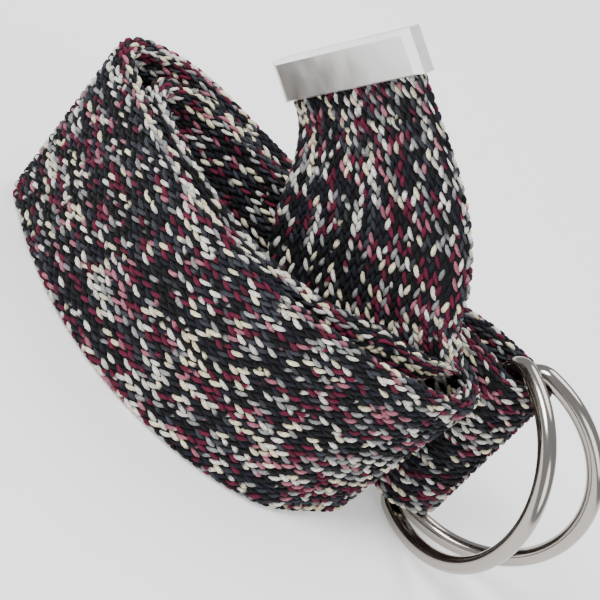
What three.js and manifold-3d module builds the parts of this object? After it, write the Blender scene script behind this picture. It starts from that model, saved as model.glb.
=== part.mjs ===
// Knitted waist belt with two D-rings, loosely coiled and standing on the strap's edge.
// Millimetres, +Z up. The strap is a tubular knit band; the coil's axis is upright.
// Seen from above the strap runs: folded end, round the ring bars, along the back,
// left turn, front, right turn, and a second round inside the first, up to the metal tip.
import * as THREE from 'three';
import { mergeVertices } from 'three/addons/utils/BufferGeometryUtils.js';
import Module from 'manifold-3d';

// strap
const strapWidth = 40.5;
const tipWidth = 38;
const strapThickness = 4.0;
const edgeRounding = 1.5;
const layerGap = 0.4;
const layer = strapThickness + layerGap;

// D-rings: the bars lie in the folded end, the second one further in and nearer the front
const ringWire = 3.5;
const ringWidth = 46;
const ringDepth = 30.5;
const ringCorner = 3.4;
const ringShoulder = 1.0;
const ringClearance = 0.35;
const foldClearance = 0.75;
const foldWidth = ringWidth - 2 * ringWire - 2 * foldClearance;
const barGap = 0.4;
const barStagger = 34;
const outerRingTurn = -2;
const innerRingTurn = -36;

// metal tip on the free end
const tipHeight = 8;
const tipPinch = 0.5;
const tipWall = 0.6;
const tipClearance = 0.3;
const tipBevel = 0.8;
const tipSideBevel = 1.8;

// coil
const backHeading = 172;
const turnRadius = 6.6;
const innerTurnRadius = 5.2;
const tailTurnRadius = 3.7;
const step = 2.2;
const flapLength = 12;
const pastBars = 3;
const sinking = 17;
const backLength = 29;
const leftEasing = 16;
const frontLeft = 9;
const frontBowed = 31;
const frontMiddle = 35;
const frontRight = 19;
const innerEasing = 13;
const tailEasing = 6.5;
const tailClimb = 21;
const tailRise = 33;

const degree = Math.PI / 180;
const wasm = await Module();
wasm.setup();

// Everything below is measured along the middle of the strap. A bend turns the strap to
// the left seen from above, a slant leans the line it bends about towards the way it runs,
// a sway turns it upwards within its own plane, and a lean tips its upper edge outwards.
// Slant, lean, width and thickness grow or fade over the row to the value given.
const foldRadius = ringWire / 2 + ringClearance + strapThickness / 2;
const plySpread = 2 * foldRadius - layer;
const flapEase = 25;
const easeRadius = plySpread / (2 * (1 - Math.cos(flapEase * degree)));
const easeLength = easeRadius * flapEase * degree;
const barSpacing = ringWire + barGap;
const humpEase = 20;
const humpRadius = 2 * strapThickness;
const hump = barSpacing * Math.sin(barStagger * degree);
const humpRound = (foldRadius + humpRadius) * (1 - Math.cos(humpEase * degree));
const humpSlope = (hump - humpRound) / Math.sin(humpEase * degree);
const ringRise = (ringWidth - strapWidth) / 2 + 0.2;
const foldShare = foldWidth / strapWidth;
const tipShare = tipWidth / strapWidth;
const arc = (radius, angle) => radius * Math.abs(angle) * degree;

const foldRows = [
  { name: 'flap', length: flapLength, bend: 0, width: foldShare },
  { name: 'flap leaving the strap', length: easeLength, bend: flapEase, width: foldShare },
  { name: 'flap beside the bars', length: easeLength, bend: -flapEase, width: foldShare },
  { name: 'beside the bars', length: barSpacing + ringWire / 2, bend: 0, width: foldShare },
];
const roundBars = [
  {
    name: 'fold round the first bar',
    length: arc(foldRadius, 180 - barStagger),
    bend: barStagger - 180,
    width: foldShare,
  },
  { name: 'between the bars', length: barSpacing, bend: 0, width: foldShare },
  {
    name: 'over the second bar',
    length: arc(foldRadius, barStagger + humpEase),
    bend: -barStagger - humpEase,
    width: foldShare,
  },
  { name: 'down from the bar', length: humpSlope, bend: 0, width: foldShare },
  { name: 'levelling', length: arc(humpRadius, humpEase), bend: humpEase, width: foldShare },
];

// the first round: bends are the shape of the coil, lengths are its size
const sinkAngle = (ringRise / sinking) / degree;
const ringEndRows = [
  { name: 'ring end, past the bars', length: pastBars, bend: 0, width: foldShare },
  { name: 'ring end, sinking', length: sinking, bend: -2, sway: -sinkAngle },
  { name: 'ring end, levelling', length: sinking, bend: -2, sway: sinkAngle },
];
const roundRows = [
  { name: 'back', length: backLength, bend: 0 },
  { name: 'left easing', length: leftEasing, bend: 43 },
  { name: 'left turn', length: turnRadius * 102 * degree, bend: 102 },
  { name: 'front left', length: frontLeft, bend: 0 },
  { name: 'front left, bowed', length: frontBowed, bend: 26 },
  { name: 'front middle', length: frontMiddle, bend: 37 },
  { name: 'front right', length: frontRight, bend: 31, lean: 8 },
];

// Turns one table row into short steps and moves the frame along it.
function walk(frame, rows, stations) {
  for (const row of rows) {
    const count = Math.max(2, Math.round(row.length / step));
    const turns = Math.abs(row.bend) / 7;
    const steps = Math.max(count, Math.ceil(turns));
    const part = row.length / steps;
    const bend = row.bend * degree / steps;
    const sway = (row.sway || 0) * degree / steps;
    const slantBefore = frame.slant || 0;
    const slantAfter = (row.slant || 0) * degree;
    const leanBefore = frame.lean || 0;
    const leanAfter = (row.lean || 0) * degree;
    const widthBefore = frame.width || foldShare;
    const widthAfter = row.width || 1;
    const thickBefore = frame.thick || 1;
    const thickAfter = row.thick || 1;
    for (let k = 0; k < steps; k += 1) {
      const slant = slantBefore + (slantAfter - slantBefore) * Math.min(1, 1.5 * (k + 1) / steps);
      turnFrame(frame, bend / 2, slant, sway / 2);
      frame.place.addScaledVector(frame.along, part);
      turnFrame(frame, bend / 2, slant, sway / 2);
      const share = (1 - Math.cos(Math.PI * (k + 1) / steps)) / 2;
      frame.lean = leanBefore + (leanAfter - leanBefore) * share;
      frame.width = widthBefore + (widthAfter - widthBefore) * share;
      frame.thick = thickBefore + (thickAfter - thickBefore) * share;
      stations.push(snapshot(frame, row.name));
    }
    frame.slant = slantAfter;
  }
}

function turnFrame(frame, bend, slant, sway) {
  const axis = frame.across.clone().multiplyScalar(Math.cos(slant));
  axis.addScaledVector(frame.along, Math.sin(slant)).normalize();
  frame.along.applyAxisAngle(axis, bend);
  frame.across.applyAxisAngle(axis, bend);
  const facing = new THREE.Vector3().crossVectors(frame.across, frame.along);
  frame.along.applyAxisAngle(facing, -sway);
  frame.across.applyAxisAngle(facing, -sway);
}

function snapshot(frame, name) {
  const across = frame.across.clone().applyAxisAngle(frame.along, frame.lean || 0);
  const width = frame.width || foldShare;
  const thick = frame.thick || 1;
  return { place: frame.place.clone(), along: frame.along.clone(), across, width, thick, name };
}

function flatFrame(x, y, z, heading) {
  const angle = heading * degree;
  return {
    place: new THREE.Vector3(x, y, z),
    along: new THREE.Vector3(Math.cos(angle), Math.sin(angle), 0),
    across: new THREE.Vector3(0, 0, 1),
  };
}

// how far a row of the table carries a level strap that starts with a given heading
function carried(rows, heading) {
  const frame = flatFrame(0, 0, 0, heading);
  walk(frame, rows.map((row) => ({ ...row, sway: 0, slant: 0 })), []);
  return frame.place;
}

function sum(rows) {
  return rows.reduce((total, row) => total + row.bend, 0);
}

const rightBend = 360 - sum(roundRows);

// The right turn is as wide as the rest of the round leaves room for, so that the second
// round starts one layer inside the first.
const inward = new THREE.Vector3(-Math.sin(backHeading * degree), Math.cos(backHeading * degree), 0);
const soFar = carried(roundRows, backHeading).dot(inward);
const turnHeading = backHeading + sum(roundRows);
const unitTurn = carried([{ name: 'turn', length: 1, bend: rightBend }], turnHeading).dot(inward);
const rightTurn = { name: 'right turn', length: (layer - soFar) / unitTurn, bend: rightBend };

// The second round keeps one layer inside the first, but for a rounder left turn.
const inside = (row) => ({
  ...row,
  name: 'inner ' + row.name,
  length: row.length - layer * row.bend * degree,
});
const innerTurnRows = [
  { name: 'inner left easing', length: innerEasing, bend: 43 },
  { name: 'inner left turn', length: innerTurnRadius * 102 * degree, bend: 102 },
];

// Lengths of the two straight stretches beside the inner left turn.
function straights() {
  const first = carried(roundRows.slice(0, 4), backHeading);
  const farHeading = (backHeading + 145) * degree;
  const farInward = new THREE.Vector3(-Math.sin(farHeading), Math.cos(farHeading), 0);
  const round = carried([...roundRows, rightTurn], backHeading);
  const target = first.clone().addScaledVector(farInward, layer).sub(round);
  const turn = carried(innerTurnRows, backHeading);
  const rest = target.sub(turn);
  const a = new THREE.Vector2(Math.cos(backHeading * degree), Math.sin(backHeading * degree));
  const b = new THREE.Vector2(Math.cos(farHeading), Math.sin(farHeading));
  const area = a.x * b.y - a.y * b.x;
  return {
    back: (rest.x * b.y - rest.y * b.x) / area,
    front: (a.x * rest.y - a.y * rest.x) / area,
  };
}
const straight = straights();

const innerRows = [
  { name: 'inner back', length: straight.back, bend: 0 },
  ...innerTurnRows,
  { name: 'inner front left', length: straight.front, bend: 0 },
  inside(roundRows[4]),
  { ...inside(roundRows[5]), bend: roundRows[5].bend + 7, sway: 6, slant: 6 },
];

// the free end: a leaning turn, then it climbs out of the coil
const tailRows = [
  { name: 'tail, easing', length: tailEasing, bend: 8, slant: 6, sway: 9, lean: -1 },
  { name: 'tail turn, first half', length: arc(tailTurnRadius, 77), bend: 77, slant: 27, sway: -2, lean: 2 },
  {
    name: 'tail turn, second half',
    length: arc(tailTurnRadius, 66),
    bend: 66,
    slant: 28,
    sway: 10,
    lean: -11,
  },
  { name: 'tail, climbing', length: tailClimb, bend: 9, sway: 27, slant: 0, lean: -17 },
  {
    name: 'tail',
    length: tailRise,
    bend: -8,
    sway: -36,
    lean: -36,
    width: tipShare,
    thick: tipPinch,
  },
  { name: 'tail end', length: tipHeight, bend: 0, lean: -36, width: tipShare, thick: tipPinch },
];

// The strap starts at the end of its flap, on the back of the ring end.
const runner = flatFrame(0, 0, strapWidth / 2 + ringRise, backHeading + 4 - 180);
const stations = [snapshot(runner, 'start')];
walk(runner, foldRows, stations);
const firstBar = stations[stations.length - 1];
walk(runner, [...roundBars, ...ringEndRows, ...roundRows, rightTurn, ...innerRows, ...tailRows], stations);
const tailEnd = stations[stations.length - 1];

// A closed solid through rings of points, all with the same count.
function loft(rings, closedPath) {
  const count = rings[0].length;
  const points = [];
  for (const ring of rings) {
    for (const point of ring) {
      points.push(point.x, point.y, point.z);
    }
  }
  const faces = [];
  const last = closedPath ? rings.length : rings.length - 1;
  for (let i = 0; i < last; i += 1) {
    const next = (i + 1) % rings.length;
    for (let j = 0; j < count; j += 1) {
      const k = (j + 1) % count;
      faces.push(i * count + j, i * count + k, next * count + k);
      faces.push(i * count + j, next * count + k, next * count + j);
    }
  }
  if (!closedPath) {
    const top = (rings.length - 1) * count;
    for (let j = 1; j < count - 1; j += 1) {
      faces.push(0, j + 1, j);
      faces.push(top, top + j, top + j + 1);
    }
  }
  const geometry = new THREE.BufferGeometry();
  geometry.setAttribute('position', new THREE.Float32BufferAttribute(points, 3));
  geometry.setIndex(faces);
  return geometry;
}

// The strap's section: flat faces and edges, rounded between; given across and through.
function strapSection() {
  const half = strapWidth / 2;
  const deep = strapThickness / 2;
  const section = [];
  const corners = [[1, -1, 270], [1, 1, 0], [-1, 1, 90], [-1, -1, 180]];
  for (const [sideA, sideB, from] of corners) {
    for (const turn of [0, 45, 90]) {
      const angle = (from + turn) * degree;
      section.push([
        sideA * (half - edgeRounding) + edgeRounding * Math.cos(angle),
        sideB * (deep - edgeRounding) + edgeRounding * Math.sin(angle),
      ]);
    }
  }
  return section;
}

function strapSolid() {
  const section = strapSection();
  const rings = stations.map((station) => {
    const facing = new THREE.Vector3().crossVectors(station.across, station.along);
    return section.map(([across, through]) => station.place.clone()
      .addScaledVector(station.across, across * station.width)
      .addScaledVector(facing, through * station.thick));
  });
  return loft(rings.map((ring) => ring.reverse()), false);
}

// A D-ring with its bar on the local z axis and its bow towards local x.
function ringSolid() {
  const a = (ringWidth - ringWire) / 2;
  const deep = ringDepth - ringWire;
  const path = [];
  const barSteps = 6;
  for (let k = 0; k <= barSteps; k += 1) {
    path.push([0, (a - ringCorner) * (1 - 2 * k / barSteps)]);
  }
  for (const turn of [22.5, 45, 67.5, 90]) {
    const angle = turn * degree;
    path.push([ringCorner * (1 - Math.cos(angle)), -(a - ringCorner) - ringCorner * Math.sin(angle)]);
  }
  const bowDepth = deep - ringCorner - ringShoulder;
  const bowSteps = 32;
  for (let k = 0; k <= bowSteps; k += 1) {
    const angle = Math.PI * k / bowSteps;
    path.push([ringCorner + ringShoulder + bowDepth * Math.sin(angle), -a * Math.cos(angle)]);
  }
  for (const turn of [90, 67.5, 45, 22.5]) {
    const angle = turn * degree;
    path.push([ringCorner * (1 - Math.cos(angle)), a - ringCorner + ringCorner * Math.sin(angle)]);
  }
  const sides = 12;
  const rings = path.map((point, index) => {
    const before = path[(index + path.length - 1) % path.length];
    const after = path[(index + 1) % path.length];
    const along = new THREE.Vector2(after[0] - before[0], after[1] - before[1]).normalize();
    const ring = [];
    for (let side = 0; side < sides; side += 1) {
      const angle = 2 * Math.PI * side / sides;
      const out = ringWire / 2 * Math.cos(angle);
      ring.push(new THREE.Vector3(
        point[0] + along.y * out,
        ringWire / 2 * Math.sin(angle),
        point[1] - along.x * out,
      ));
    }
    return ring;
  });
  return loft(rings, true);
}

// The metal tip: a folded cap with bevelled edges, pinched over the strap's end. Local x runs
// the way the strap runs, local y through it and local z across it.
function solidOf(geometry) {
  const bare = geometry.clone();
  bare.deleteAttribute('normal');
  bare.deleteAttribute('uv');
  const merged = mergeVertices(bare, 1e-4);
  return new wasm.Manifold(new wasm.Mesh({
    numProp: 3,
    vertProperties: new Float32Array(merged.getAttribute('position').array),
    triVerts: new Uint32Array(merged.index.array),
  }));
}

function geometryOf(solid) {
  const mesh = solid.getMesh();
  const geometry = new THREE.BufferGeometry();
  geometry.setAttribute('position', new THREE.Float32BufferAttribute(mesh.vertProperties, 3));
  geometry.setIndex(Array.from(mesh.triVerts));
  return geometry;
}

function plateRing(y, endInset, sideInset, half) {
  const low = -tipHeight;
  return [
    new THREE.Vector3(low + endInset / 2, y, half - sideInset),
    new THREE.Vector3(-endInset, y, half - sideInset),
    new THREE.Vector3(-endInset, y, -half + sideInset),
    new THREE.Vector3(low + endInset / 2, y, -half + sideInset),
  ];
}

function tipSolid() {
  const pocketHalf = tipWidth / 2 + tipClearance;
  const pocketDeep = tipPinch * strapThickness / 2 + tipClearance;
  const half = pocketHalf + tipWall + tipBevel / 2;
  const deep = pocketDeep + tipWall;
  const outside = loft([
    plateRing(-deep, tipBevel, tipSideBevel, half),
    plateRing(-deep + tipBevel, 0, 0, half),
    plateRing(deep - tipBevel, 0, 0, half),
    plateRing(deep, tipBevel, tipSideBevel, half),
  ], false);
  const pocket = new THREE.BoxGeometry(tipHeight * 2, 2 * pocketDeep, 2 * pocketHalf);
  pocket.translate(-tipHeight - tipWall, 0, 0);
  return geometryOf(solidOf(outside).subtract(solidOf(pocket)));
}

function steel(color, roughness) {
  return new THREE.MeshStandardMaterial({ color, roughness, metalness: 1 });
}

function addMesh(parent, name, geometry, material) {
  const mesh = new THREE.Mesh(geometry, material);
  mesh.name = name;
  parent.add(mesh);
  return mesh;
}

const belt = new THREE.Group();
const knit = new THREE.MeshStandardMaterial({ color: 0x6b6470, roughness: 0.95, metalness: 0 });
addMesh(belt, 'strap', strapSolid(), knit);

// the bars' places inside the fold
const facing = new THREE.Vector3().crossVectors(firstBar.across, firstBar.along);
const outerBar = firstBar.place.clone().addScaledVector(facing, -foldRadius);
const innerBar = outerBar.clone()
  .addScaledVector(firstBar.along, -barSpacing * Math.cos(barStagger * degree))
  .addScaledVector(facing, -hump);
const endHeading = Math.atan2(firstBar.along.y, firstBar.along.x);

const outerRing = addMesh(belt, 'outer_d_ring', ringSolid(), steel(0xb9b4ac, 0.18));
outerRing.position.copy(outerBar);
outerRing.rotation.z = endHeading + outerRingTurn * degree;

const innerRing = addMesh(belt, 'inner_d_ring', ringSolid(), steel(0xb9b4ac, 0.18));
innerRing.position.copy(innerBar);
innerRing.rotation.z = endHeading + innerRingTurn * degree;

// the tip sits over the last of the strap
const tip = addMesh(belt, 'end_tip', tipSolid(), steel(0xc9c7c4, 0.22));
const tipFacing = new THREE.Vector3().crossVectors(tailEnd.across, tailEnd.along);
tip.setRotationFromMatrix(new THREE.Matrix4().makeBasis(tailEnd.along, tipFacing, tailEnd.across));
tip.position.copy(tailEnd.place).addScaledVector(tailEnd.along, tipWall + tipClearance);

// the whole stands on its lower edge with the middle of its footprint at the origin
belt.updateMatrixWorld(true);
const extent = new THREE.Box3().setFromObject(belt, true);
const middle = extent.getCenter(new THREE.Vector3());
belt.children.forEach((mesh) => mesh.position.sub(new THREE.Vector3(middle.x, middle.y, extent.min.z)));

const group = new THREE.Group();
group.add(...belt.children);
export default group;
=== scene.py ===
# %% [markdown]
# # A knitted waist belt, coiled and standing on its edge
# The belt is a soft tubular knit band with two D-rings in its folded end and a metal tip on
# its free end. The CAD model is the fixed frame: it says where everything is. Here the band
# gets real stitches, the rings their smooth wire, and everything its finish.

# %% Load the frame
import math
import bpy
import mathutils
import numpy as np
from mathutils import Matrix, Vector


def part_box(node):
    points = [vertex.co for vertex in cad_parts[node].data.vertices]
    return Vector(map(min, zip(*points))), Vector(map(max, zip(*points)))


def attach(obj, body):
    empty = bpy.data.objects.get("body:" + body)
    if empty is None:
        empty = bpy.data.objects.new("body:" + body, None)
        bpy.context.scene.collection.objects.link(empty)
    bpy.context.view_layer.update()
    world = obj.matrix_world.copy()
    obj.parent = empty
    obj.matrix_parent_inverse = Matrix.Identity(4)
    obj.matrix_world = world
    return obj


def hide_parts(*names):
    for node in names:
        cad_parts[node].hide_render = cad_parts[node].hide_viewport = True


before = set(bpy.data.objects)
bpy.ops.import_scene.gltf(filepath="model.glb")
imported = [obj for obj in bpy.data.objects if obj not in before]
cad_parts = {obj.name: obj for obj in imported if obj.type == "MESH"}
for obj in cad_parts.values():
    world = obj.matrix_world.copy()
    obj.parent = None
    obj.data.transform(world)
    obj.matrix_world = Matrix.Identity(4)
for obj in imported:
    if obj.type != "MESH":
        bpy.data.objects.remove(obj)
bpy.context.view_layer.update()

# %% [markdown]
# ## The camera
# The picture looks down on the coil by about 32 degrees and is turned by 42 degrees about
# the line of sight, so the belt seems to lean across the frame. A 120 mm lens on a 36 mm
# sensor from 0.38 m gives the same mild perspective.

# %% Camera
def unit(v):
    """v made one unit long."""
    return np.asarray(v, float) / np.linalg.norm(v)


def photo_camera(target, distance, pitch, roll, lens):
    """A camera that looks along F, with its picture turned by roll: right and up are mixed
    by the cosine and sine of the roll."""
    p, r = math.radians(pitch), math.radians(roll)
    forward = np.array([0.0, math.cos(p), -math.sin(p)])
    level, upright = np.array([1.0, 0.0, 0.0]), np.array([0.0, math.sin(p), math.cos(p)])
    right = math.cos(r) * level + math.sin(r) * upright
    up = -math.sin(r) * level + math.cos(r) * upright
    place = np.asarray(target, float) - distance * forward
    data = bpy.data.cameras.new("photo_camera")
    data.lens, data.sensor_width, data.sensor_fit = lens, 36.0, "HORIZONTAL"
    data.clip_start, data.clip_end = 0.01, 20.0
    camera = bpy.data.objects.new("photo_camera", data)
    bpy.context.scene.collection.objects.link(camera)
    matrix = np.eye(4)
    matrix[:3, 0], matrix[:3, 1], matrix[:3, 2], matrix[:3, 3] = right, up, -forward, place
    camera.matrix_world = mathutils.Matrix(matrix.tolist())
    bpy.context.scene.camera = camera
    return camera


look_at = (-0.0065, 0.0170, 0.0190)
camera = photo_camera(look_at, distance=0.384, pitch=32, roll=42, lens=120)
print("camera at", [round(v, 4) for v in camera.matrix_world.translation])

# %% [markdown]
# ## The strap's route
# A strap laid in a coil is a ribbon that bends, twists and leans as it goes. It could be
# drawn as a curve, but a curve gives no hold on the twist. Here a small frame of three
# directions walks along the strap, the way a turtle draws: each row of a table says how far
# it goes, how much it bends, and how it leans. These are the same rows as the CAD model's.

# %% Named sizes of the strap, in millimetres and degrees
strap_width, tip_width = 40.5, 38.0
strap_thick, edge_round, layer_gap = 4.0, 1.5, 0.4
layer = strap_thick + layer_gap
ring_wire, ring_width, ring_depth, ring_corner, ring_shoulder = 3.5, 46.0, 30.5, 3.4, 1.0
ring_clearance, fold_clearance, edge_clearance = 0.35, 0.75, 0.2
fold_width = ring_width - 2 * ring_wire - 2 * fold_clearance
bar_gap, bar_stagger, outer_ring_turn, inner_ring_turn = 0.4, 34.0, -2.0, -36.0
tip_height, tip_pinch = 8.0, 0.5
back_heading, turn_radius, inner_turn_radius, tail_turn_radius, step = 172.0, 6.6, 5.2, 3.7, 2.2
flap_length, past_bars, sinking, flap_ease, hump_ease = 12.0, 3.0, 17.0, 25, 20
back_length, left_easing, front_left, front_bowed = 29.0, 16.0, 9.0, 31.0
front_middle, front_right, inner_easing = 35.0, 19.0, 13.0
tail_easing, tail_climb, tail_rise = 6.5, 21.0, 33.0
left_ease_bend, left_turn_bend, sink_bend = 43, 102, 2
degree = math.pi / 180


def arc(radius, angle):
    """Length of an arc of that radius through that angle."""
    return radius * abs(angle) * degree


fold_radius = ring_wire / 2 + ring_clearance + strap_thick / 2
ease_radius = (2 * fold_radius - layer) / (2 * (1 - math.cos(flap_ease * degree)))
ease_length = arc(ease_radius, flap_ease)
bar_spacing = ring_wire + bar_gap
hump_radius = 2 * strap_thick
hump = bar_spacing * math.sin(bar_stagger * degree)
hump_round = (fold_radius + hump_radius) * (1 - math.cos(hump_ease * degree))
hump_slope = (hump - hump_round) / math.sin(hump_ease * degree)
ring_rise = (ring_width - strap_width) / 2 + edge_clearance
fold_share, tip_share = fold_width / strap_width, tip_width / strap_width
sink_angle = ring_rise / sinking / degree
print("fold", fold_width, "mm wide, round a bar at", fold_radius, "mm")

# %% [markdown]
# ## One step of the walk
# The frame turns half a bend, moves on, and turns the other half, so that its points lie on
# a true circle. The bend's line may slant, which is what lets the free end climb out of the
# coil as it turns back.

# %% Walking the frame
finest_turn = 7


def spin(v, axis, angle):
    """Turns v about a unit axis: v cos a + (axis x v) sin a + axis (axis . v)(1 - cos a)."""
    c, s = math.cos(angle), math.sin(angle)
    return v * c + np.cross(axis, v) * s + axis * np.dot(axis, v) * (1 - c)


def turn(state, bend, slant, sway):
    """Bends the frame about its slanted upright, then sways it within its own plane."""
    axis = unit(state["across"] * math.cos(slant) + state["along"] * math.sin(slant))
    for key in ("along", "across"):
        state[key] = spin(state[key], axis, bend)
    facing = np.cross(state["across"], state["along"])
    for key in ("along", "across"):
        state[key] = spin(state[key], facing, -sway)


def walk(state, rows, stations):
    """Each row (length, bend, slant, sway, lean, width, thick) in equal short steps."""
    for row in rows:
        length, bend = row["length"], row.get("bend", 0)
        steps = max(2, math.floor(length / step + 0.5), math.ceil(abs(bend) / finest_turn))
        slant0, slant1 = state.get("slant", 0), row.get("slant", 0) * degree
        lean0, lean1 = state.get("lean", 0), row.get("lean", 0) * degree
        wide0, wide1 = state.get("width", fold_share), row.get("width", 1)
        thick0, thick1 = state.get("thick", 1), row.get("thick", 1)
        for k in range(steps):
            slant = slant0 + (slant1 - slant0) * min(1, 1.5 * (k + 1) / steps)
            half_bend, half_sway = bend * degree / steps / 2, row.get("sway", 0) * degree / steps / 2
            turn(state, half_bend, slant, half_sway)
            state["place"] = state["place"] + state["along"] * (length / steps)
            turn(state, half_bend, slant, half_sway)
            share = (1 - math.cos(math.pi * (k + 1) / steps)) / 2
            state["lean"] = lean0 + (lean1 - lean0) * share
            state["width"] = wide0 + (wide1 - wide0) * share
            state["thick"] = thick0 + (thick1 - thick0) * share
            across = spin(state["across"], state["along"], state["lean"])
            sizes = [state["width"], state["thick"]]
            stations.append(np.concatenate([state["place"], state["along"], across, sizes]))
        state["slant"] = slant1


def level_state(place, heading):
    """The frame of an upright strap that starts at a place and runs level."""
    angle = heading * degree
    along = np.array([math.cos(angle), math.sin(angle), 0.0])
    return {"place": np.array(place, float), "along": along, "across": np.array([0.0, 0.0, 1.0])}


def carried(rows, heading):
    """How far the rows carry a level strap that starts with a given heading."""
    state = level_state((0, 0, 0), heading)
    walk(state, [{**row, "sway": 0, "slant": 0} for row in rows], [])
    return state["place"]


# %% [markdown]
# ## The strap's rows
# The folded end goes round the two ring bars, then come the first round of the coil, the
# second round one layer inside it, and the free end.

# %% The rows
def row(length, bend=0, slant=0, sway=0, lean=0, width=1, thick=1):
    """One stretch of the strap; width and thick are shares of the full sizes."""
    return {"length": length, "bend": bend, "slant": slant, "sway": sway, "lean": lean, "width": width,
            "thick": thick}


def fold_row(length, bend=0):
    """A stretch at the folded end, where the strap is gathered to fit the rings."""
    return row(length, bend, width=fold_share)


fold_rows = [fold_row(flap_length), fold_row(ease_length, flap_ease)]
fold_rows += [fold_row(ease_length, -flap_ease), fold_row(bar_spacing + ring_wire / 2)]
bar_rows = [
    fold_row(arc(fold_radius, 180 - bar_stagger), bar_stagger - 180),
    fold_row(bar_spacing),
    fold_row(arc(fold_radius, bar_stagger + hump_ease), -bar_stagger - hump_ease),
    fold_row(hump_slope),
    fold_row(arc(hump_radius, hump_ease), hump_ease),
]
ring_end_rows = [
    fold_row(past_bars),
    row(sinking, -sink_bend, sway=-sink_angle),
    row(sinking, -sink_bend, sway=sink_angle),
]
round_rows = [
    row(back_length),
    row(left_easing, left_ease_bend),
    row(turn_radius * left_turn_bend * degree, left_turn_bend),
    row(front_left),
    row(front_bowed, 26),
    row(front_middle, 37),
    row(front_right, 31, lean=8),
]
inner_turn_rows = [
    row(inner_easing, left_ease_bend),
    row(inner_turn_radius * left_turn_bend * degree, left_turn_bend),
]

# %% [markdown]
# ## Closing the rounds
# The right turn gets the size that brings the strap back one layer inside where it began.
# The two straight stretches beside the inner left turn are solved in the same way.

# %% Closing the rounds
bend_so_far = sum(r["bend"] for r in round_rows)
inward = np.array([-math.sin(back_heading * degree), math.cos(back_heading * degree), 0])
so_far = carried(round_rows, back_heading) @ inward
unit_turn = carried([row(1, 360 - bend_so_far)], back_heading + bend_so_far) @ inward
right_turn = row((layer - so_far) / unit_turn, 360 - bend_so_far)


def inside(r):
    """The same stretch one layer further in: a bend there is shorter."""
    return {**r, "length": r["length"] - layer * r["bend"] * degree}


def straights():
    """Solves the lengths of the two straight stretches beside the inner left turn."""
    far = (back_heading + left_ease_bend + left_turn_bend) * degree
    far_inward = np.array([-math.sin(far), math.cos(far), 0])
    target = carried(round_rows[:4], back_heading) + far_inward * layer
    rest = target - carried(round_rows + [right_turn], back_heading) - carried(inner_turn_rows, back_heading)
    a = (math.cos(back_heading * degree), math.sin(back_heading * degree))
    b = (math.cos(far), math.sin(far))
    area = a[0] * b[1] - a[1] * b[0]
    return (rest[0] * b[1] - rest[1] * b[0]) / area, (a[0] * rest[1] - a[1] * rest[0]) / area


straight_back, straight_front = straights()
inner_rows = [row(straight_back), *inner_turn_rows, row(straight_front), inside(round_rows[4])]
# the last stretch of the second round bends a little more and begins to rise
extra_bend, rising = 7, {"sway": 6, "slant": 6}
inner_rows += [{**inside(round_rows[5]), "bend": round_rows[5]["bend"] + extra_bend, **rising}]
print("right turn", round(right_turn["length"], 2), "mm, inner straights", round(straight_back, 2),
      "and", round(straight_front, 2), "mm")

# %% [markdown]
# ## The free end
# A tight turn of two halves, then the end climbs out of the coil and twists up to its tip.
# Its bends, slants, sways and leans, its three lengths and its radius weren't measured. A
# search found them by comparing the outline with the photograph's, and they were rounded
# afterwards. They are the least certain numbers here.

# %% The free end
tail_halves = 77, 66
tail_rows = [
    row(tail_easing, 8, slant=6, sway=9, lean=-1),
    row(arc(tail_turn_radius, tail_halves[0]), tail_halves[0], slant=27, sway=-2, lean=2),
    row(arc(tail_turn_radius, tail_halves[1]), tail_halves[1], slant=28, sway=10, lean=-11),
    row(tail_climb, 9, sway=27, lean=-17),
    row(tail_rise, -8, sway=-36, lean=-36, width=tip_share, thick=tip_pinch),
    row(tip_height, lean=-36, width=tip_share, thick=tip_pinch),
]
print("free end", round(sum(r["length"] for r in tail_rows), 1), "mm")

# %% [markdown]
# ## From rows to a smooth ribbon
# The walk gives a station about every 2 mm. Stitches are finer, so the stations are blended with
# a Catmull-Rom curve: each point leans on its four nearest stations.

# %% The ribbon
state = level_state((0, 0, strap_width / 2 + ring_rise), back_heading + 2 * sink_bend - 180)
stations = [np.concatenate([state["place"], state["along"], state["across"], [fold_share, 1.0]])]
walk(state, fold_rows, stations)
first_bar = stations[-1]
walk(state, bar_rows + ring_end_rows + round_rows + [right_turn] + inner_rows + tail_rows, stations)
stations = np.array(stations)


def smooth_table(table, per_step):
    """Catmull-Rom between rows 1 and 2 of each four, per_step points a step."""
    padded = np.concatenate([2 * table[:1] - table[1:2], table, 2 * table[-1:] - table[-2:-1]])
    t = (np.arange(per_step) / per_step)[None, :, None]
    p0, p1, p2, p3 = (padded[i:len(padded) - 3 + i][:, None, :] for i in range(4))
    square, cube = 2 * p0 - 5 * p1 + 4 * p2 - p3, 3 * p1 - p0 - 3 * p2 + p3
    curve = 0.5 * (2 * p1 + (p2 - p0) * t + square * t**2 + cube * t**3)
    return np.concatenate([curve.reshape(-1, table.shape[1]), table[-1:]])


ribbon = smooth_table(stations, 6)
ribbon[:, 3:6] /= np.linalg.norm(ribbon[:, 3:6], axis=1, keepdims=True)
ribbon[:, 6:9] /= np.linalg.norm(ribbon[:, 6:9], axis=1, keepdims=True)
travelled = np.concatenate([[0], np.cumsum(np.linalg.norm(np.diff(ribbon[:, :3], axis=0), axis=1))])
strap_length = travelled[-1]
print("strap length", round(strap_length, 1), "mm,", len(ribbon), "places")

# %% [markdown]
# ## The strap's section
# A tube of knit pressed flat: two broad faces joined by round edges. One number u, the
# distance round the section, says where on it a stitch sits.

# %% Section
half, deep = strap_width / 2, strap_thick / 2
broad, edge, corner = 2 * (half - edge_round), 2 * (deep - edge_round), edge_round * math.pi / 2
legs = np.array([broad, corner, edge, corner, broad, corner, edge, corner])
starts = np.concatenate([[0], np.cumsum(legs)])
round_length = starts[-1]


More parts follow.
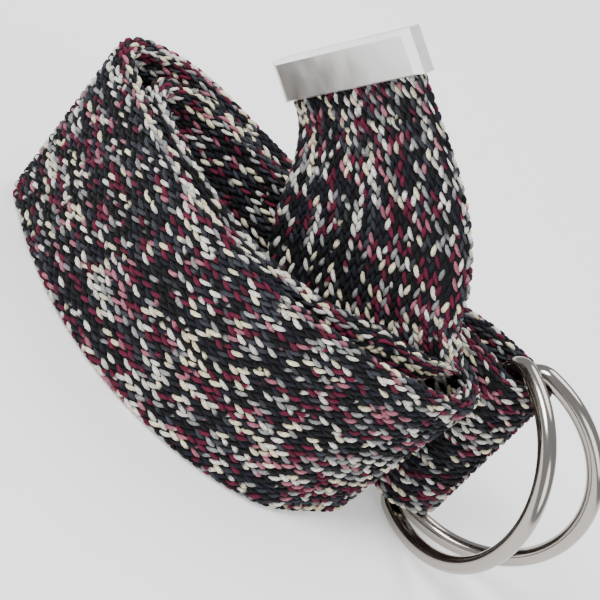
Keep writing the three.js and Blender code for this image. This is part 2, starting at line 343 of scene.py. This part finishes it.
# per leg: where its corner circle's centre lies (-1, 0 or 1 of each half) and which way it
# faces as it begins
leg_side = np.array([0, 1, 1, 1, 0, -1, -1, -1])
leg_level = np.array([-1, -1, 0, 1, 1, 1, 0, -1])
leg_facing = np.array([-90, -90, 0, 0, 90, 90, 180, 180]) * degree


def section(u):
    """Where u is on the section: across, through, and the outward direction there. A corner
    turns its outward direction by part / radius; a flat keeps it and slides sideways."""
    u = np.mod(u, round_length)
    k = np.clip(np.searchsorted(starts, u, side="right") - 1, 0, 7)
    part, flat = u - starts[k], k % 2 == 0
    facing = leg_facing[k] + np.where(flat, 0, part / edge_round)
    out_a, out_t = np.cos(facing), np.sin(facing)
    slide = np.where(flat, part - legs[k] / 2, 0)
    across = leg_side[k] * (half - edge_round) + edge_round * out_a - slide * out_t
    through = leg_level[k] * (deep - edge_round) + edge_round * out_t + slide * out_a
    return across, through, out_a, out_t


def on_strap(s, u, height):
    """The point at s along the strap, u round it and height above its surface, in mm."""
    columns = [np.interp(s, travelled, ribbon[:, c]) for c in range(11)]
    place, along = np.stack(columns[:3], -1), np.stack(columns[3:6], -1)
    up = np.stack(columns[6:9], -1)
    facing = np.cross(up, along)
    across, through, out_a, out_t = section(u)
    wide, thick = columns[9], columns[10]
    moved = up * (across * wide + out_a * height)[..., None]
    return place + moved + facing * (through * thick + out_t * height)[..., None]


outline = on_strap(travelled[:, None], np.linspace(0, round_length, 48)[None, :], 0.0)
shift = np.array(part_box("strap")[0]) * 1000 - outline.reshape(-1, 3).min(0)
gap = outline.reshape(-1, 3).max(0) + shift - np.array(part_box("strap")[1]) * 1000
print("strap matches the CAD node to", np.abs(gap).max().round(2), "mm")

# %% [markdown]
# ## Meshes from arrays
# A grid of points becomes quads by counting: point (i, j) joins (i + 1, j) and its
# neighbours. The arrays go straight into the mesh.

# %% Mesh helpers
def put_mesh(name, points, faces, smooth=True):
    """points (n, 3) in mm and faces (m, 3 or 4) become an object at the origin, in metres."""
    mesh = bpy.data.meshes.new(name)
    mesh.vertices.add(len(points))
    mesh.vertices.foreach_set("co", (np.asarray(points) / 1000).astype(np.float32).ravel())
    corners = faces.shape[1]
    mesh.loops.add(faces.size)
    mesh.loops.foreach_set("vertex_index", faces.astype(np.int32).ravel())
    mesh.polygons.add(len(faces))
    mesh.polygons.foreach_set("loop_start", np.arange(0, faces.size, corners, dtype=np.int32))
    mesh.polygons.foreach_set("use_smooth", np.full(len(faces), smooth))
    mesh.update(calc_edges=True)
    mesh.validate()
    made = bpy.data.objects.new(name, mesh)
    bpy.context.scene.collection.objects.link(made)
    return made


def tube_faces(rows, around, closed_path=False):
    """Quads of a tube of rows x around points, left open at its ends unless the path closes."""
    i = np.arange(rows if closed_path else rows - 1)[:, None]
    j = np.arange(around)[None, :]
    nxt, k = (i + 1) % rows, (j + 1) % around
    return np.stack([i * around + j, i * around + k, nxt * around + k, nxt * around + j], -1).reshape(-1, 4)


# %% [markdown]
# ## Wool-like yarn
# Marl yarn is matt, slightly hairy, and each strand takes its own shade. The shade comes from a colour
# attribute that each stitch carries, together with painted shade; a fine noise breaks it into fibres, and
# sheen gives the soft light on the edges that a hairy yarn has.

# %% Yarn material
def new_material(name):
    """An empty material with its nodes, its links and its main shader."""
    material = bpy.data.materials.new(name)
    material.use_nodes = True
    tree = material.node_tree
    shader = next(n for n in tree.nodes if n.type == "BSDF_PRINCIPLED")
    return material, tree.nodes, tree.links, shader


def yarn_material(name, attribute, fibre_scale, bump_height):
    """Attribute colour, darkened and lightened by fibre noise; matt with sheen."""
    material, nodes, links, shader = new_material(name)
    coords = nodes.new("ShaderNodeTexCoord")
    fibres = nodes.new("ShaderNodeTexNoise")
    fibres.inputs["Scale"].default_value = fibre_scale
    fibres.inputs["Detail"].default_value = 3.0
    links.new(coords.outputs["Object"], fibres.inputs["Vector"])
    shade = nodes.new("ShaderNodeAttribute")
    shade.attribute_name = attribute
    ramp = nodes.new("ShaderNodeMapRange")
    ramp.inputs["From Min"].default_value, ramp.inputs["From Max"].default_value = 0.3, 0.7
    ramp.inputs["To Min"].default_value, ramp.inputs["To Max"].default_value = 0.5, 1.25
    links.new(fibres.outputs["Fac"], ramp.inputs["Value"])
    mix = nodes.new("ShaderNodeVectorMath")
    mix.operation = "SCALE"
    links.new(shade.outputs["Color"], mix.inputs[0])
    links.new(ramp.outputs["Result"], mix.inputs["Scale"])
    links.new(mix.outputs["Vector"], shader.inputs["Base Color"])
    bump = nodes.new("ShaderNodeBump")
    bump.inputs["Strength"].default_value = 0.6
    bump.inputs["Distance"].default_value = bump_height
    links.new(fibres.outputs["Fac"], bump.inputs["Height"])
    links.new(bump.outputs["Normal"], shader.inputs["Normal"])
    shader.inputs["Roughness"].default_value = 0.82
    shader.inputs["Sheen Weight"].default_value = 0.04
    shader.inputs["Sheen Roughness"].default_value = 0.5
    shader.inputs["Specular IOR Level"].default_value = 0.22
    return material


# the attribute holds the yarn's own colour and painted shade
yarn = yarn_material("marl_yarn", "yarn_colour_and_painted_shade", 3200.0, 0.00012)
# the ground ribbon's material, whose near-black colour is painted shade
ground = yarn_material("painted_gap_shade_yarn", "yarn_colour_and_painted_shade", 2600.0, 0.0002)
print("materials", yarn.name, ground.name)

# %% [markdown]
# ## The ground of the band
# Between the stitches one sees into the dark of the knit. A plain ribbon, a little thinner than the strap,
# closes the band there and hides its inside. Its near-black colour is painted shade for the gaps between the
# stitches.

# %% Ground ribbon
ground_depth, around, ground_rows, end_inset = 0.62, 40, 620, 0.35
# near-black painted shade for the gaps between the stitches
gap_painted_shade = (0.004, 0.004, 0.006, 1.0)
u_grid = np.arange(around) * round_length / around
s_grid = np.linspace(end_inset, strap_length - end_inset, ground_rows)
rings = on_strap(s_grid[:, None], u_grid[None, :], -ground_depth) + shift
caps = np.stack([rings[0].mean(0), rings[-1].mean(0)])


def fan(centre, first, way):
    """Triangles from a centre point to each pair of neighbours in a ring that begins at first."""
    k = np.arange(around)
    pair = [first + k, first + (k + 1) % around][::way]
    return np.stack([np.full(around, centre), *pair], -1)


def signed_volume(points, faces):
    """Six times the volume that the faces close: negative if they look inward."""
    a, b, c = points[faces[:, 0]], points[faces[:, 1]], points[faces[:, 2]]
    return np.einsum("ij,ij->i", a, np.cross(b, c)).sum()


centre = ground_rows * around
quads = tube_faces(ground_rows, around)
triangles = np.concatenate([quads[:, [0, 1, 2]], quads[:, [0, 2, 3]],
                            fan(centre, 0, -1), fan(centre + 1, centre - around, 1)])
ground_points = np.concatenate([rings.reshape(-1, 3), caps])
if signed_volume(ground_points, triangles) <= 0:
    triangles = triangles[:, ::-1]
strap_ground_painted_shade = put_mesh("strap_ground_painted_shade", ground_points, triangles)
# every point of the ground ribbon gets that painted shade
shades = np.tile(np.array(gap_painted_shade, np.float32), (len(ground_points), 1))
layer_of = strap_ground_painted_shade.data.color_attributes.new("yarn_colour_and_painted_shade", "FLOAT_COLOR", "POINT")
layer_of.data.foreach_set("color", shades.ravel())
strap_ground_painted_shade.data.materials.append(ground)
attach(strap_ground_painted_shade, "belt")
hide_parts("strap")
print("ground", len(triangles), "triangles")

# %% [markdown]
# ## The stitches
# Plain knit shows columns of V shapes, each V two slanted legs of yarn that dive under the
# next pair. A texture would stay flat at the rims, where the legs stand out against the
# light, so every leg is a real grain of yarn: a slim closed spindle, bent over the surface
# so that its two ends sink in. All grains are worked out at once and joined in a few meshes.

# %% Where the stitches sit
rng = np.random.default_rng(5057)
wales = 44
course = 2.5
end_margin, start_margin, stop_margin = 0.6, 1.1, 2.3
half_columns = 2 * wales
courses = int((strap_length - 2 * end_margin) / course)
column = np.repeat(np.arange(half_columns), courses)
number = np.tile(np.arange(courses), half_columns)
wale = column // 2
phase = rng.uniform(-0.16, 0.16, wales)[wale] + np.where(column % 2 == 0, 0.0, 0.5)
stitch_s = end_margin + (number + 0.5 + phase + rng.normal(0, 0.05, len(column))) * course
stitch_s = np.clip(stitch_s, start_margin, strap_length - stop_margin)
stitch_u = (column + 0.5) * round_length / half_columns + rng.normal(0, 0.05, len(column))
# one leg of each V leans less than the other
slant_way = np.where(column % 2 == 0, 1.1, -0.75)


def pull(s, u):
    """How much longer the surface is at (s, u) than the strap's middle line: the distance
    between two places 1 mm apart along the strap."""
    return np.linalg.norm(on_strap(s + 0.5, u, 0.0) - on_strap(s - 0.5, u, 0.0), axis=-1)


stretched = np.clip(pull(stitch_s, stitch_u), 0.35, 4.0)
print("stitches", len(column), "pull", stretched.min().round(2), "to", stretched.max().round(2))

# %% [markdown]
# ## The marl's colours
# Space-dyed yarn changes its shade in short runs, so one leg is often like the one before
# it in its column. Cream and off-white strands are a little thicker than the dark ones.

# %% Shades of the stitches
shade_names = ["black", "navy", "slate", "light grey", "off-white", "cream", "burgundy", "dusty pink"]
shade_table = np.array([
    [0.003, 0.003, 0.004], [0.007, 0.008, 0.015], [0.032, 0.034, 0.043], [0.25, 0.25, 0.25],
    [0.68, 0.66, 0.60], [0.76, 0.69, 0.48], [0.100, 0.006, 0.026], [0.34, 0.12, 0.16]])
shade_share = np.array([0.25, 0.15, 0.12, 0.11, 0.13, 0.09, 0.16, 0.05])
shade_swell = np.array([1, 1, 1, 1.04, 1.12, 1.16, 1.05, 1.0])
# each column leans to a few shades for a stretch of about 30 courses, which makes streaks
stretch = 30
leaning = shade_share * rng.gamma(1.5, 1.0, (half_columns, courses // stretch + 2, len(shade_share)))
leaning = np.cumsum(leaning / leaning.sum(-1, keepdims=True), -1)
begins = rng.integers(0, stretch, half_columns)
which = (np.arange(courses)[None, :] + begins[:, None]) // stretch
limits_of = leaning[np.arange(half_columns)[:, None], which]
fresh = (rng.random((half_columns, courses, 1)) > limits_of).sum(-1).clip(0, len(shade_table) - 1)
keeping = 0.16
keeps = rng.random((half_columns, courses)) < keeping
for k in range(1, courses):
    fresh[:, k] = np.where(keeps[:, k], fresh[:, k - 1], fresh[:, k])
stitch_shade = fresh.ravel()
stitch_colour = shade_table[stitch_shade] * rng.uniform(0.75, 1.2, (len(column), 1))

# %% [markdown]
# ## Two-tone and doubled legs
# A third of the legs change their shade part way, where the dye on the yarn changes. On the
# outer side of a sharp turn the knit spreads, so one leg there is made as two or more.

# %% Two-tone and doubled legs
never = 2.0
other = rng.choice(len(shade_table), size=len(column), p=shade_share / shade_share.sum())
turns_at = np.where(rng.random(len(column)) < 0.33, rng.uniform(-0.3, 0.5, len(column)), never)
copies = np.clip(np.round(stretched), 1, 4).astype(int)
rank = np.arange(copies.sum()) - np.repeat(np.cumsum(copies) - copies, copies)
stitch_s = np.repeat(stitch_s, copies) + (rank / np.repeat(copies, copies)) * course
stitch_s = np.clip(stitch_s, start_margin, strap_length - stop_margin)
stitch_u, slant_way, stitch_shade = (np.repeat(a, copies) for a in (stitch_u, slant_way, stitch_shade))
stitch_colour, other, turns_at = (np.repeat(a, copies, axis=0) for a in (stitch_colour, other, turns_at))
stitch_long = 1 / np.clip(pull(stitch_s, stitch_u), 0.6, 4.0)
stitch_wide = rng.uniform(0.84, 1.16, len(stitch_s)) * shade_swell[stitch_shade]
print({name: int((stitch_shade == k).sum()) for k, name in enumerate(shade_names)})

# %% [markdown]
# ## One grain of yarn
# A leg is a spindle of four rings of six points with a point at each end. Its swell says how
# thick it is from end to end, and its ends lie under the ground, so it seems to dive in.

# %% The grain's shape
leg_length, leg_width, leg_depth, leg_slant = 3.3, 0.88, 0.95, 19 * degree
leg_rise, arch_depth, end_depth = 0.10, 0.55, 0.35
t = np.array([-1, -0.7, -0.25, 0.25, 0.7, 1.0])
swell = np.array([0, 0.6, 0.97, 1.0, 0.62, 0])
sides = 6
turns = np.arange(sides) * 2 * math.pi / sides
print("a leg is", leg_length, "mm long and", leg_width, "mm wide")


def grains(select):
    """Points of the chosen grains. Along t a leg runs straight at its slant; round it the
    section is an ellipse, widest near the middle; its middle falls by arch_depth t^2 from
    the top, so that both ends sink into the band."""
    s, u = stitch_s[select][:, None, None], stitch_u[select][:, None, None]
    way, wide = slant_way[select][:, None, None], stitch_wide[select][:, None, None]
    long = stitch_long[select][:, None, None]
    tt, sw = t[None, 1:-1, None], swell[None, 1:-1, None]
    ring_a, ring_h = np.cos(turns)[None, None, :], np.sin(turns)[None, None, :]
    along = long * tt * leg_length / 2 * math.cos(leg_slant) + 0 * ring_a
    sideways = way * tt * leg_length / 2 * math.sin(leg_slant) + sw * wide * leg_width / 2 * ring_a
    height = leg_rise - leg_depth / 2 - arch_depth * tt**2 + sw * leg_depth / 2 * ring_h + 0 * wide
    body = on_strap(s + along, u + sideways, height)
    ends = []
    for end in (0, -1):
        a = long[:, 0] * t[end] * leg_length / 2 * math.cos(leg_slant)
        b = way[:, 0] * t[end] * leg_length / 2 * math.sin(leg_slant)
        ends.append(on_strap(s[:, 0] + a, u[:, 0] + b, np.full_like(a, -ground_depth - end_depth)))
    return ends[0], body, ends[1]


def grain_faces(count):
    """Triangles of one grain, repeated for count grains, and the points of each grain."""
    rows = len(t) - 2
    quads_one = 1 + tube_faces(rows, sides)
    tail = 1 + rows * sides
    k = np.arange(sides)
    first = np.stack([np.zeros(sides, int), 1 + (k + 1) % sides, 1 + k], -1)
    final = np.stack([np.full(sides, tail), tail - sides + k, tail - sides + (k + 1) % sides], -1)
    one = np.concatenate([first, quads_one[:, [0, 1, 2]], quads_one[:, [0, 2, 3]], final])
    return (one[None] + (np.arange(count) * (tail + 1))[:, None, None]).reshape(-1, 3), tail + 1


# %% [markdown]
# ## Knitting the band
# The grains are joined in six meshes along the strap. Each point carries its yarn's shade, with painted
# shade darkening it towards a leg's ends, where it dives into the knit.

# %% Knitting the band
# painted shade: how dark a leg's tips are, and how much its rings darken towards the ends
pieces, pole_painted_shade, painted_shade_depth = 6, 0.30, 0.55
limits = np.linspace(0, strap_length, pieces + 1)
painted_end_shade = np.concatenate([[pole_painted_shade], np.repeat(1 - painted_shade_depth * np.abs(t[1:-1]) ** 3, sides), [pole_painted_shade]])
reach = np.concatenate([[-1], np.repeat(t[1:-1], sides), [1]])
for k in range(pieces):
    chosen = np.where((stitch_s >= limits[k]) & (stitch_s < limits[k + 1]))[0]
    low, body, high = grains(chosen)
    points = np.concatenate([low, body.reshape(len(chosen), -1, 3), high], axis=1) + shift
    faces, each = grain_faces(len(chosen))
    one_grain = faces[:len(faces) // len(chosen)]
    if signed_volume(points[0] - points[0].mean(0), one_grain) <= 0:
        faces = faces[:, ::-1]
    knit = put_mesh("stitches_%d" % (k + 1), points.reshape(-1, 3), faces)
    changed = (reach[None, :] > turns_at[chosen][:, None])[..., None]
    colour = np.where(changed, shade_table[other[chosen]][:, None, :], stitch_colour[chosen][:, None, :])
    # painted shade darkens each leg towards its ends
    colour = colour * painted_end_shade[None, :, None]
    rgba = np.concatenate([colour, np.ones(colour.shape[:2] + (1,))], -1).astype(np.float32)
    attribute = knit.data.color_attributes.new("yarn_colour_and_painted_shade", "FLOAT_COLOR", "POINT")
    attribute.data.foreach_set("color", rgba.ravel())
    knit.data.materials.append(yarn)
    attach(knit, "belt")
    print(knit.name, len(chosen), "stitches,", len(faces), "triangles")

# %% [markdown]
# ## The D-rings
# Each ring is one round wire bent to a D and plated with nickel: a straight bar inside the
# fold, tight corners and a wide bow. The wire is a circle carried along that closed path.

# %% Ring wire
points_bow, points_corner, points_bar, points_round = 96, 12, 40, 24


def ring_path():
    """The D in its own plane: bar along y at x = 0, quarter-circle corners, then half an
    ellipse for the bow."""
    a, reach = (ring_width - ring_wire) / 2, ring_depth - ring_wire
    bow = reach - ring_corner - ring_shoulder
    bar_y = np.linspace(a - ring_corner, -(a - ring_corner), points_bar)
    bar = np.stack([np.zeros(points_bar), bar_y], -1)
    q = np.linspace(0, math.pi / 2, points_corner + 1)[1:]
    down = np.stack([ring_corner * (1 - np.cos(q)), -(a - ring_corner) - ring_corner * np.sin(q)], -1)
    w = np.linspace(0, math.pi, points_bow + 1)
    round_bow = np.stack([ring_corner + ring_shoulder + bow * np.sin(w), -a * np.cos(w)], -1)
    back = down[::-1] * [1, -1]
    return np.concatenate([bar, down, round_bow, back])


def wire_ring(name, place, heading, node):
    """A round wire along the D path, its bar upright at a place and its bow towards heading."""
    path = ring_path()
    ahead = np.roll(path, -1, 0) - np.roll(path, 1, 0)
    ahead /= np.linalg.norm(ahead, axis=1, keepdims=True)
    side = np.stack([ahead[:, 1], -ahead[:, 0]], -1)
    w = np.arange(points_round) * 2 * math.pi / points_round
    out = path[:, None, :] + side[:, None, :] * (ring_wire / 2 * np.cos(w))[None, :, None]
    flat = np.broadcast_to(ring_wire / 2 * np.sin(w)[None, :], out.shape[:2])
    c, s = math.cos(heading), math.sin(heading)
    turned = np.stack([out[..., 0] * c - flat * s, out[..., 0] * s + flat * c, out[..., 1]], -1)
    points = (turned + place).reshape(-1, 3)
    quads_ring = tube_faces(len(path), points_round, closed_path=True)
    triangles_ring = np.concatenate([quads_ring[:, [0, 1, 2]], quads_ring[:, [0, 2, 3]]])
    if signed_volume(points, triangles_ring) <= 0:
        quads_ring = quads_ring[:, ::-1]
    ring = put_mesh(name, points, quads_ring)
    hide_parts(node)
    print(name, "at", place.round(2), len(quads_ring) * 2, "triangles")
    return ring


# %% [markdown]
# ## Placing the rings
# The first bar lies inside the fold; the second lies one bar spacing further in and a little to the side.
# Each ring rides on its own body.

# %% Placing the rings
bar_along, bar_up = first_bar[3:6], first_bar[6:9]
bar_facing = np.cross(bar_up, bar_along)
outer_bar = first_bar[:3] - bar_facing * fold_radius + shift
inner_bar = outer_bar - bar_along * bar_spacing * math.cos(bar_stagger * degree) - bar_facing * hump
end_heading = math.atan2(bar_along[1], bar_along[0])
outer_ring = wire_ring("outer_ring_wire", outer_bar, end_heading + outer_ring_turn * degree, "outer_d_ring")
inner_ring = wire_ring("inner_ring_wire", inner_bar, end_heading + inner_ring_turn * degree, "inner_d_ring")
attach(outer_ring, "outer_ring")
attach(inner_ring, "inner_ring")

# %% [markdown]
# ## Polished nickel and the tip's satin metal
# Nickel plate mirrors the room with a warm grey tint, and rubbing leaves faint cloudy
# patches of roughness. The tip is brighter and a little grained, like rolled sheet.

# %% Metal materials
def metal_material(name, colour, smooth, rough, cloud_scale, grain_height):
    """Roughness runs between smooth and rough with a cloudy noise; fine grain as bump."""
    material, nodes, links, shader = new_material(name)
    shader.inputs["Base Color"].default_value = (*colour, 1)
    shader.inputs["Metallic"].default_value = 1.0
    coords = nodes.new("ShaderNodeTexCoord")
    clouds = nodes.new("ShaderNodeTexNoise")
    clouds.inputs["Scale"].default_value = cloud_scale
    clouds.inputs["Detail"].default_value = 4.0
    links.new(coords.outputs["Object"], clouds.inputs["Vector"])
    spread = nodes.new("ShaderNodeMapRange")
    spread.inputs["From Min"].default_value, spread.inputs["From Max"].default_value = 0.3, 0.7
    spread.inputs["To Min"].default_value, spread.inputs["To Max"].default_value = smooth, rough
    links.new(clouds.outputs["Fac"], spread.inputs["Value"])
    links.new(spread.outputs["Result"], shader.inputs["Roughness"])
    grain = nodes.new("ShaderNodeTexNoise")
    grain.inputs["Scale"].default_value = 1400.0
    links.new(coords.outputs["Object"], grain.inputs["Vector"])
    bump = nodes.new("ShaderNodeBump")
    bump.inputs["Strength"].default_value = 0.35
    bump.inputs["Distance"].default_value = grain_height
    links.new(grain.outputs["Fac"], bump.inputs["Height"])
    links.new(bump.outputs["Normal"], shader.inputs["Normal"])
    return material


nickel = metal_material("polished_nickel", (0.34, 0.315, 0.285), 0.1, 0.2, 160.0, 0.00001)
sheet_metal = metal_material("satin_sheet", (0.93, 0.92, 0.90), 0.36, 0.48, 260.0, 0.00003)
for ring in (outer_ring, inner_ring):
    ring.data.materials.append(nickel)
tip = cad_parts["end_tip"]
tip.data.materials.clear()
tip.data.materials.append(sheet_metal)
print("materials", nickel.name, sheet_metal.name)

# %% [markdown]
# ## The floor
# A wide pale sheet, as on a product table. It glows a little, which brings the background
# nearer to white. It is only a stage and no part of the belt.

# %% Floor
floor_reach, floor_level = 4000, -0.2
floor_signs = np.array([[-1, -1], [1, -1], [1, 1], [-1, 1]])
floor_points = np.column_stack([floor_signs * floor_reach, np.full(4, floor_level)])
floor = put_mesh("floor", floor_points, np.array([[0, 1, 2, 3]]), smooth=False)
paper, _, _, paper_shader = new_material("paper")
paper_shader.inputs["Base Color"].default_value = (0.93, 0.93, 0.93, 1)
paper_shader.inputs["Roughness"].default_value = 0.9
paper_shader.inputs["Emission Color"].default_value = (1, 1, 1, 1)
paper_shader.inputs["Emission Strength"].default_value = 0.35
floor.data.materials.append(paper)
print("floor", 2 * floor_reach / 1000, "m wide")

# %% [markdown]
# ## The lamps
# Three large soft discs: a key from the left, a weaker fill from the right, and one above
# and behind. The room is kept a little darker than the lamps, so that the metal has
# something dark to mirror at its edges.

# %% Lamps
def lamp(name, place, aim, size, energy):
    """A disc of light at a place, turned so that it shines at the aim."""
    data = bpy.data.lights.new(name, "AREA")
    data.shape, data.size, data.energy = "DISK", size, energy
    made = bpy.data.objects.new(name, data)
    bpy.context.scene.collection.objects.link(made)
    away = unit(np.asarray(place, float) - np.asarray(aim, float))
    side = unit(np.cross([0.0, 0.3, 1.0], away))
    matrix = np.eye(4)
    matrix[:3, 0], matrix[:3, 1], matrix[:3, 2], matrix[:3, 3] = side, np.cross(away, side), away, place
    made.matrix_world = mathutils.Matrix(matrix.tolist())
    return made


lamp_aim = (0, 0, 0.03)
lamps = [
    lamp("key", (-0.55, -0.55, 0.95), lamp_aim, 0.6, 17),
    lamp("fill", (0.75, -0.65, 0.6), lamp_aim, 0.8, 6),
    lamp("top", (0.1, 0.55, 1.1), lamp_aim, 0.9, 10),
]
print("lamps", [made.name for made in lamps])
world = bpy.data.worlds.new("room")
world.use_nodes = True
background = next(n for n in world.node_tree.nodes if n.type == "BACKGROUND")
background.inputs["Color"].default_value = (0.93, 0.95, 1.0, 1)
background.inputs["Strength"].default_value = 0.6
bpy.context.scene.world = world
